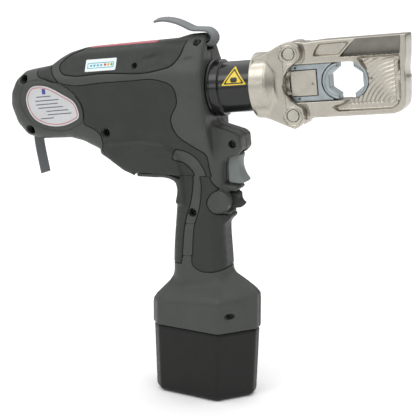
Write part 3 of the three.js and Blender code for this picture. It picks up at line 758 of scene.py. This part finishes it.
def add_warning_label():
    low, high = head_box(-66, -40, -8, 22, -26, -8)
    tube = lambda p: np.hypot(*head_axes(p)[1:]) - 24.0
    points = [(-53, 20.4), (-65.4, 3.6), (-40.6, 3.6)]
    outer = Outline(points, soft=0.5, step=0.25, margin=6)
    piece("warning_sheet", on_surface(tube, head_region(outer), 0.12, 0.7), low, high, 0.3, "tool_body",
          "warning_label", ["warning_label"])
    ring = lambda p: np.maximum(head_region(outer, -1.1)(p), -head_region(outer, -2.2)(p))
    disc = box_region(-53, 8.4, 3.2, 2.2, 1.4)
    marks = lambda p: np.minimum(ring(p), disc(p))
    piece("warning_border", on_surface(tube, marks, 0.4, 0.85), low, high, 0.22, "tool_body", "warning_label",
          material="ink_black")


def add_window():
    def field(p):
        u, y, v = head_axes(p)
        bar = cuboid((u, y, v), (-202.8, -8.7, 45.2), (-131.2, 8.7, 60), 1.4)
        return smax(bar, housing_base(p) - 0.1, 0.8)
    low, high = head_box(-204, -130, 44, 51, -10, 10)
    piece("top_light_strip", field, low, high, 0.5, "tool_body", "window", ["top_window"])


# ---- turned parts
def turned(name, profile, start, axis, body, slot, nodes, sides=96):
    """A solid turned about axis from start: profile is (distance along, radius) in millimetres."""
    axis = np.asarray(axis, float) / np.linalg.norm(axis)
    aside = np.cross(axis, (0.0, 1.0, 0.0) if abs(axis[1]) < 0.9 else (1.0, 0.0, 0.0))
    aside /= np.linalg.norm(aside)
    third = np.cross(axis, aside)
    turns = 2 * math.pi * np.arange(sides) / sides
    ring = np.cos(turns)[:, None] * aside + np.sin(turns)[:, None] * third
    rows = [np.asarray(start) + axis * along + ring * max(r, 0.02) for along, r in profile]
    verts = np.concatenate(rows)
    faces = []
    for i in range(len(profile) - 1):
        a = i * sides + np.arange(sides)
        b = i * sides + (np.arange(sides) + 1) % sides
        faces.append(np.stack([a, a + sides, b + sides, b], 1))
    thing = mesh_object(name, verts, np.concatenate(faces)[:, ::-1])
    thing.data.set_sharp_from_angle(angle=math.radians(32))
    return dressed(thing, body, slot, nodes)


def bevelled(corners, cut=0.4):
    """The profile with each corner cut in two places, so that every rim catches the light."""
    out = [corners[0]]
    for before, here, after in zip(corners, corners[1:], corners[2:]):
        for other in (before, after):
            length = math.dist(other, here)
            k = min(cut / length, 0.45) if length else 0
            out.append((here[0] + (other[0] - here[0]) * k, here[1] + (other[1] - here[1]) * k))
    return out + [corners[-1]]


AXIS = np.array((COS, 0, SIN))
PIN_V = 27.8


def on_axis(u, v=0.0, y=0.0):
    return from_head([(u, y, v)])[0]


def add_cylinder():
    profile = [(0, 0), (0, 22), (29.5, 22), (29.5, 26.4), (31.4, 26.4), (31.4, 25.4), (33, 25.4), (33, 26.6),
               (41, 26.6), (41, 24), (72.9, 24), (72.9, 20), (82.5, 20), (82.5, 16), (33, 16), (33, 0)]
    turned("hydraulic_cylinder", bevelled(profile, 0.5), on_axis(-110.5), AXIS, "tool_body", "black_steel",
           ["cylinder"])


def add_pins():
    y_axis = (0, 1, 0)
    pin = bevelled([(0, 0), (0, 5.4), (43.2, 5.4), (43.2, 0)], 0.7)
    turned("yoke_hinge_pin", pin, on_axis(0, PIN_V, -20.8), y_axis, "head", "steel", ["hinge_pin"], 64)
    lock = [(0, 0), (0, 5.4), (41.1, 5.4), (41.1, 8)]
    lock += [(41.1 + 0.9 * i + (0.9 if i % 2 else 0.0), 8.0 - (0.7 if i % 2 else 0)) for i in range(1, 7)]
    lock += [(48.8, 8), (48.8, 3.4), (47.8, 3), (47.8, 0)]
    turned("locking_pin", bevelled(lock, 0.35), on_axis(0, -PIN_V, -20.8), y_axis, "lock", "steel",
           ["lock_pin"], 64)


# ---- fork
EAR = Outline([
    (-34, -26), (-21.6, -30), (-6, -37.6), (0.6, -40.4), (6, -37.6), (9.6, -33), (10.6, -27.8),
    (9.4, -22.4), (4.8, -19.2), (-1.4, -15), (-6, -8), (-7.8, 0), (-6, 8), (-1.4, 15), (4.8, 19.2),
    (9.4, 22.6), (11, 28), (9.2, 34), (4.4, 38), (-1, 38.8), (-8, 36.6), (-21.6, 30), (-34, 26)
], soft=0.8, step=0.35)


def from_pins(u, v):
    """Distance from the nearer of the two pins' axes."""
    return np.minimum(np.hypot(u, v - PIN_V), np.hypot(u, v + PIN_V))


def pin_holes(u, y, v):
    """Bores for the hinge pin and the locking pin."""
    return np.minimum(drum(u, v - PIN_V, y, 5.7, -40, 40), drum(u, v + PIN_V, y, 5.7, -40, 40))


def fork_field(p):
    u, y, v = head_axes(p)
    radius = np.hypot(y, v)
    taper = np.interp(u, [-37.3, -21.6, -14.5], [30.3, 30.3, 23.5])
    collar = smax(radius - taper, np.abs(u + 25.9) - 11.4, 0.8)
    collar = collar + 0.35 * np.exp(-((u + 22.2) / 0.5) ** 2)
    flat = EAR(u, v)
    ears = slab(flat, np.abs(y) - 15.85, 4.15, 1.1)
    rib = smax(flat + 0.2, np.abs(np.abs(y) - 15.2) - 5.2 - 1.2 * np.clip((-6 - u) / 14, 0, 1), 1)
    ears = np.minimum(ears, np.maximum(rib, u + 6))
    ears = ears + 0.5 * np.exp(-((from_pins(u, v) - 8.4) / 0.55) ** 2) * (np.abs(y) > 18)
    body = smin(collar, ears, 2.5)
    bore = np.minimum(drum(y, v, u, 20.3, -50, -27.2), drum(y, v, u, 11.3, -50, 0))
    gap = smax(np.abs(y) - 11.7, -(u + 14.6), 0.6)
    body = smax(body, -np.minimum(bore, pin_holes(u, y, v)), 0.5)
    return smax(body, -gap, 0.6)


def add_fork():
    low, high = head_box(-38, 12, -42, 40, -23, 23)
    low[1], high[1] = -31, 31
    piece("head_fork", fork_field, low, high, 0.5, "head", "nickel_steel", ["fork"], most=180000)


# ---- yoke
YOKE = Outline([
    (0, -31.5), (91, -31.5), (97.5, -29.6), (101.4, -25), (102.6, -18), (106, 37.5), (28, 37.5),
    (14, 36.6), (9, 37.4), (0, 38.2), (-7, 35.8), (-10.2, 30), (-9.6, 23), (-4, 18), (-4, -18),
    (-9.6, -23), (-10.2, -30), (-7, -35.6), (0, -38), (6, -36.6), (16, -32)], soft=0.8, step=0.35)
WEB = Outline([
    (60, 21), (99.6, 21), (98.4, -17), (96, -23.4), (90, -27.4), (40, -27.4), (34, -22), (44, -20),
    (66, -4), (66, 10)], soft=1.0, step=0.35)
POCKET = Outline([(26.5, 34.6), (56, 35), (44.4, 23.4), (20.6, 23.4), (22, 28.4)], soft=0.9, step=0.35)
SLOPE = Outline([
    (61.6, 38.5), (101.5, 38.5), (99.4, 21), (55, 21.5), (44.6, 21.8), (49, 26)], soft=0.5, step=0.35)
RIB_CENTRE = (98.0, -30.0)
TONGUE_HALF, RIM_HALF, WEB_HALF = 11.2, 13.6, 8.4


def yoke_half(u, y, v):
    """Half thickness of the yoke over its side view."""
    half = np.where(from_pins(u, v) < 13.6, TONGUE_HALF, RIM_HALF)
    web = WEB(u, v)
    sunk = np.clip(web / 2.2 + 1, 0, 1)
    half = half * sunk + WEB_HALF * (1 - sunk)
    reach = np.hypot(u - RIB_CENTRE[0], v - RIB_CENTRE[1])
    ribs = 0.32 * np.sin(2 * math.pi * reach / 3.6) * np.clip(-web / 2, 0, 1) * (u < 93) * (v > -21)
    slope = SLOPE(u, v)
    ramp = WEB_HALF + 5.2 * np.clip((v - 20) / 16.5, 0, 1)
    within = np.clip(-slope / 0.5, 0, 1)
    half = half * (1 - within) + ramp * within
    low_ramp = np.clip((-20 - v) / 8, 0, 1) * 2.2
    half = np.where((web < 0) & (v < -19), np.maximum(half, WEB_HALF + low_ramp), half)
    half = half - 4.6 * np.clip(-POCKET(u, v) / 1.2, 0, 1)
    upright = np.maximum(np.abs(u - 95.6) - 1.9, np.maximum(-20 - v, v - 15))
    half = np.where((upright < 0) & (web < 0), 12.2 - 0.5 * np.clip(upright + 1.2, 0, 2), half)
    boss = np.abs(v - 1.6) / 7.6
    bulge = 12.6 * np.sqrt(np.clip(1 - (boss * 0.8) ** 2, 0, 1))
    return np.where((boss < 1) & (u > 93.8), np.maximum(half, bulge), half) + ribs


def yoke_field(p):
    u, y, v = head_axes(p)
    half = yoke_half(u, y, v)
    body = smax(YOKE(u, v), (np.abs(y) - half) * 0.8, 1.4)
    end_wave = 105.8 - 3.6 * (37 - v) / 68 - 1.2 * np.sin((v + 4) / 6.4)
    body = smax(body, u - end_wave, 1.0)
    slot_flat = np.minimum(np.maximum(np.abs(v) - 17.2, u - 52), np.hypot(u - 52, v) - 17.2)
    body = smax(body, -slot_flat, 0.8)
    mouth = np.maximum(np.maximum(np.abs(v + 27.4) - 6.2, u), -21 - u)
    dot = np.maximum(np.hypot(u - 72, v - 0.6) - 0.9, -(np.abs(y) - 6.5))
    bore = drum(y, v, u, 2.2, 50, 120, 0.1)
    for tool in (pin_holes(u, y, v), mouth, dot, bore):
        body = smax(body, -tool, 0.5)
    return body


def painted_shade_cast(yoke):
    """Gives the sloping faces beside the web a rougher metal whose darker colour is painted shade."""
    mesh = yoke.data
    mesh.materials.append(MATERIALS["painted_shade_cast"])
    centres = np.empty(len(mesh.polygons) * 3, np.float32)
    mesh.polygons.foreach_get("center", centres)
    u, y, v = head_axes(centres.reshape(-1, 3) * 1000.0)
    chosen = (SLOPE(u, v) < -0.2) & (np.abs(y) < 13.9) & (np.abs(y) > 7) & (v < 37)
    mesh.polygons.foreach_set("material_index", chosen.astype(np.int32))


def add_yoke():
    low, high = head_box(-11, 107, -39, 39, -15, 15)
    yoke = piece("crimp_yoke", yoke_field, low, high, 0.5, "yoke", "nickel_steel", ["yoke"], most=190000)
    # paints shade, as a darker rough metal, on the yoke's sloping faces beside the web
    painted_shade_cast(yoke)
    plunger = bevelled([(0, 0), (0, 1.9), (36.3, 1.9), (36.3, 0)], 0.4)
    turned("die_release_plunger", plunger, on_axis(69.8), AXIS, "die_release", "steel", ["die_plunger"], 48)


# ---- dies and carrier
def die_field(centre, face, direction):
    deep = face + direction * 8
    nest = Outline([(face - direction * 3, 13.4), (face, 12), (deep, 6), (deep, -6), (face, -12),
                    (face - direction * 3, -13.4)], soft=0.25, step=0.25, margin=20)

    def field(p):
        u, y, v = head_axes(p)
        flat = np.maximum(np.hypot(u - centre, v) - 16.9, direction * (face - u))
        flat = np.maximum(flat, -nest(u, v))
        body = slab(flat, y, 8, 0.7)
        lip = 0.5 * np.exp(-((np.hypot(u - centre, v) - 14.6) / 0.5) ** 2)
        return body + lip * (np.abs(y) > 7)
    return field


def add_dies():
    low, high = head_box(53, 70, -18, 18, -9, 9)
    piece("die_fixed_half", die_field(52.0, 56.0, 1), low, high, 0.4, "yoke", "zinc_steel", ["fixed_die"])
    low, high = head_box(25, 42, -18, 18, -9, 9)
    piece("die_moving_half", die_field(43.0, 41.0, -1), low, high, 0.4, "carrier", "zinc_steel",
          ["moving_die"])

    def carrier(p):
        u, y, v = head_axes(p)
        body = cuboid((u, y, v), (-2.8, -9, -16.9), (36, 9, 16.9), 0.7)
        body = smax(body, 17.2 - np.hypot(u - 43, v), 0.6)
        body = smax(body, -cuboid((u, y, v), (-9, -30, -12), (22, 30, 12), 0.3), 0.5)
        marks = np.minimum(np.hypot(u - 2, v - 14.2), np.hypot(u - 4, v + 14.2)) - 1.1
        return smax(body, -np.maximum(marks, 6 - np.abs(y)), 0.3)

    low, high = head_box(-3, 37, -18, 18, -10, 10)
    piece("die_slide", carrier, low, high, 0.42, "carrier", "zinc_steel", ["die_carrier"])

    def block(p):
        u, y, v = head_axes(p)
        body = cuboid((u, y, v), (-2.8, -10, -11.6), (21.6, 10, 11.6), 0.5)
        dimple = np.maximum(np.hypot(u - 18.2, v + 0.7) - 1.1, 8.6 - np.abs(y))
        return smax(body, -dimple, 0.3)

    low, high = head_box(-4, 23, -13, 13, -11, 11)
    piece("pressure_block_face", block, low, high, 0.42, "carrier", "nickel_steel", ["pressure_block"])


# ---- trigger and lever
TRIGGER = Outline(flowing([
    (34, 243.6), (34, 243.6), (33, 228), (34, 213), (34, 213), (46, 212.6), (50.4, 214.6),
    (47, 220), (44.4, 226), (43.6, 234), (44.4, 240), (40, 242), (39, 243.6), (39, 243.6)
]), soft=0.4, step=0.25, margin=16)
LEVER = Outline([
    (26, 202), (38, 203.2), (41.6, 202), (42, 197), (43.4, 194), (46.4, 191.8), (44.2, 188.8),
    (40, 188), (26, 188)], soft=0.4, step=0.25, margin=16)


def add_controls():
    def trigger(p):
        x, y, z = tool_axes(p)
        crown = 0.018 * y * y
        body = slab(TRIGGER(x + crown, z), y, 8.4, 1.7)
        a, b = x - TRIGGER_PIVOT[0], z - TRIGGER_PIVOT[1]
        body = smin(body, drum(a, b, y, 2.8, -8.4, 8.4), 0.8)
        return smax(body, 1.8 - np.hypot(a, b), 0.3)

    piece("trigger_blade", trigger, (27, -9, 211), (46, 9, 248), 0.36, "trigger", "trigger", ["trigger"])

    def lever(p):
        x, y, z = tool_axes(p)
        body = slab(LEVER(x, z), y, 6.8, 1.2)
        a, b = x - LEVER_PIVOT[0], z - LEVER_PIVOT[1]
        body = smin(body, drum(a, b, y, 6, -6.8, 6.8, 0.6), 1)
        ridge = 0.3 * np.cos(2 * math.pi * y / 2.6) * np.clip((x - 40) / 1.5, 0, 1) * (np.abs(y) < 5.2)
        return smax(body + ridge, 1.9 - np.hypot(a, b), 0.3)

    piece("retract_lever_key", lever, (14, -7.5, 186), (44, 7.5, 205), 0.34, "lever", "lever",
          ["retract_lever"])


# ---- battery
BATTERY_TOP = 69.2


def add_battery():
    def case(p):
        x, y, z = tool_axes(p)
        scale = 1 / (1 - 0.045 * np.clip(1 - z / SEAM_Z, 0, 1))
        flat = PLAN(x * scale, y * scale)
        body = slab(np.maximum(flat, -60), z - BATTERY_TOP / 2 - 1.2, BATTERY_TOP / 2 + 1.2, 0.5)
        round_foot = smax(flat + 0.1, -z, 6)
        body = np.maximum(np.maximum(body, round_foot), z - BATTERY_TOP)
        step = 0.7 * np.clip((z - 66.6) / 0.8, 0, 1)
        rib = 0.35 * np.exp(-((z - 12) / 0.6) ** 2)
        return smax(body, -z, 1.2) + step + rib * 0.4

    piece("battery_case_moulding", case, (-50, -38.5, -0.5), (58, 38.5, 70), 0.95, "battery", "battery_shell",
          ["battery_case"], most=120000)

    def latch(p):
        x, y, z = tool_axes(p)
        body = cuboid((x, y, z), (-46.6, -7.8, 80.2), (-37, 7.8, 89.8), 1.2)
        grooves = 0.45 * np.cos(2 * math.pi * (z - 85) / 2.4) * (x < -44) * (np.abs(y) < 6.4)
        return body + grooves

    piece("battery_release_key", latch, (-52.5, -8.5, 79.5), (-42, 8.5, 90.5), 0.36, "latch", "soft_pad",
          ["battery_latch"])


# ---- strap ends of woven webbing
STRAP_FRONT = [(-44, 362.4), (-37, 363.6), (-30, 363.4), (-21, 361.6), (-14, 359), (-6, 355.8),
               (2, 355.6), (9, 355.2), (13.8, 352), (15.4, 347.4), (13, 343), (8, 341.4)]
STRAP_REAR = [(-175, 256), (-175, 244), (-174, 235), (-172, 224), (-168.5, 207)]
WEBBING_WIDTH, WEBBING_THICK = 15.0, 2.2


def spline(points, count):
    """Points evenly spread along a smooth curve through the given ones."""
    pts = np.asarray(points, float)
    ends = np.vstack([2 * pts[0] - pts[1], pts, 2 * pts[-1] - pts[-2]])
    fine = []
    for i in range(1, len(ends) - 2):
        p0, p1, p2, p3 = ends[i - 1:i + 3]
        t = np.linspace(0, 1, 40, endpoint=False)[:, None]
        fine.append(0.5 * (2 * p1 + (p2 - p0) * t + (2 * p0 - 5 * p1 + 4 * p2 - p3) * t ** 2
                           + (3 * p1 - p0 - 3 * p2 + p3) * t ** 3))
    fine = np.vstack(fine + [pts[-1:]])
    run = np.concatenate([[0], np.cumsum(np.hypot(*np.diff(fine, axis=0).T))])
    at = np.linspace(0, run[-1], count)
    return np.stack([np.interp(at, run, fine[:, i]) for i in (0, 1)], 1), run[-1]


def webbing(name, points, node, roll):
    """A flat woven strap: raised warp ribs across its width and weft picks along it."""
    _, length = spline(points, 12)
    count = int(length / 0.42)
    path, _ = spline(points, count)
    tangent = np.gradient(path, axis=0)
    tangent /= np.hypot(*tangent.T)[:, None]
    normal = np.stack([-tangent[:, 1], tangent[:, 0]], 1)
    across = 72
    turn = 2 * math.pi * np.arange(across) / across
    shape_y = np.sign(np.cos(turn)) * np.abs(np.cos(turn)) ** 0.45
    shape_n = np.sign(np.sin(turn)) * np.abs(np.sin(turn)) ** 0.45
    rows = []
    for i in range(count):
        run = i * length / (count - 1)
        y = shape_y * (WEBBING_WIDTH / 2 + 0.12 * math.sin(run * 2.1))
        warp = 0.16 * np.cos(2 * math.pi * y / 1.9 + math.pi * (int(run / 1.3) % 2))
        lift = shape_n * (WEBBING_THICK / 2) + np.sign(shape_n) * warp * (np.abs(shape_n) > 0.6)
        curl = 0.35 * (y / WEBBING_WIDTH * 2) ** 2
        height = lift + curl + y * math.sin(roll)
        flat = path[i][None, :] + height[:, None] * normal[i]
        side = y * math.cos(roll) - lift * math.sin(roll)
        rows.append(np.stack([flat[:, 0] - ORIGIN_X, side, flat[:, 1]], 1))
    verts = np.concatenate(rows + [rows[0].mean(0, keepdims=True), rows[-1].mean(0, keepdims=True)])
    here = np.arange(across)
    beside = (here + 1) % across
    row_starts = np.arange(count - 1)[:, None] * across
    a, b = (row_starts + here).ravel(), (row_starts + beside).ravel()
    quads = np.stack([a, b, b + across, a + across], 1)
    first, last = np.full(across, count * across), np.full(across, count * across + 1)
    tail = (count - 1) * across
    caps = [np.stack([here, first, beside], 1), np.stack([tail + here, tail + beside, last], 1)]
    thing = strip_mesh(name, verts, quads, np.vstack(caps))
    return dressed(thing, "tool_body", "webbing", [node])


def strip_mesh(name, verts, quads, caps):
    mesh = bpy.data.meshes.new(name)
    mesh.from_pydata((verts / 1000).tolist(), [], quads.tolist() + caps.tolist())
    mesh.validate()
    mesh.shade_smooth()
    thing = bpy.data.objects.new(name, mesh)
    bpy.context.scene.collection.objects.link(thing)
    return thing


def add_straps():
    webbing("strap_end_front", STRAP_FRONT, "strap_front", 0.16)
    webbing("strap_end_rear", STRAP_REAR, "strap_rear", 0.12)


# ---- carried-over CAD nodes
def paint_nodes():
    for name, node in frame["nodes"].items():
        node.data.materials.clear()
        node.data.materials.append(MATERIALS[NODE_SLOT[name]])


# ---- studio
LENS = 100.125
CAMERA_TARGET = (0.00315, 0, 0.184)
CAMERA_DISTANCE = 1.121
FLOOR_Z = -0.0008
WORLD_STRENGTH = 1.75


def add_camera():
    data = bpy.data.cameras.new("camera")
    data.lens = LENS
    camera = bpy.data.objects.new("camera", data)
    bpy.context.scene.collection.objects.link(camera)
    azimuth, elevation = math.radians(21), math.radians(13)
    back = Vector((math.sin(azimuth) * math.cos(elevation), -math.cos(azimuth) * math.cos(elevation),
                   math.sin(elevation)))
    camera.location = Vector(CAMERA_TARGET) + back * CAMERA_DISTANCE
    camera.rotation_mode = "QUATERNION"
    camera.rotation_quaternion = (-back).to_track_quat("-Z", "Y")
    bpy.context.scene.camera = camera


def add_floor():
    mesh = bpy.data.meshes.new("floor")
    reach = 30.0
    mesh.from_pydata([(-reach, -reach, FLOOR_Z), (reach, -reach, FLOOR_Z), (reach, reach, FLOOR_Z),
                      (-reach, reach, FLOOR_Z)], [], [(0, 1, 2, 3)])
    floor = bpy.data.objects.new("floor", mesh)
    bpy.context.scene.collection.objects.link(floor)
    shader = Shader("floor_paper", (0.93, 0.93, 0.93), 0.9)
    shader.relief(shader.noise(300, 3), 0.0002, 0.1)
    mesh.materials.append(shader.material)


def add_light(name, place, target, size, power):
    data = bpy.data.lights.new(name, "AREA")
    data.size = size
    data.energy = power
    lamp = bpy.data.objects.new(name, data)
    bpy.context.scene.collection.objects.link(lamp)
    lamp.location = place
    lamp.rotation_mode = "QUATERNION"
    lamp.rotation_quaternion = (Vector(target) - Vector(place)).to_track_quat("-Z", "Y")


def add_lights():
    world = bpy.data.worlds.new("studio")
    bpy.context.scene.world = world
    world.use_nodes = True
    tree = world.node_tree
    split = tree.nodes.new("ShaderNodeSeparateXYZ")
    ramp = tree.nodes.new("ShaderNodeValToRGB")
    place = tree.nodes.new("ShaderNodeTexCoord")
    for at, level in ((0.0, 0.07), (0.12, 0.12), (0.42, 0.42), (0.72, 0.95), (1.0, 1.0)):
        stop = ramp.color_ramp.elements.new(at)
        stop.color = (level, level, level, 1)
    tree.links.new(place.outputs["Generated"], split.inputs[0])
    tree.links.new(split.outputs["Z"], ramp.inputs[0])
    tree.links.new(ramp.outputs[0], tree.nodes["Background"].inputs["Color"])
    tree.nodes["Background"].inputs["Strength"].default_value = WORLD_STRENGTH
    add_light("key", (-0.9, -1.5, 1.9), (0, 0, 0.25), 0.8, 6)
    add_light("front", (-0.85, -2.2, 0.8), (0.06, 0, 0.3), 0.6, 3)
    bpy.context.scene.view_settings.view_transform = "Standard"


add_camera()
add_floor()
add_lights()
paint_nodes()
add_housing()
add_pads()
add_screws()
add_type_plate()
add_status_label()
add_warning_label()
add_window()
add_cylinder()
add_pins()
add_fork()
add_yoke()
add_dies()
add_controls()
add_battery()
add_straps()
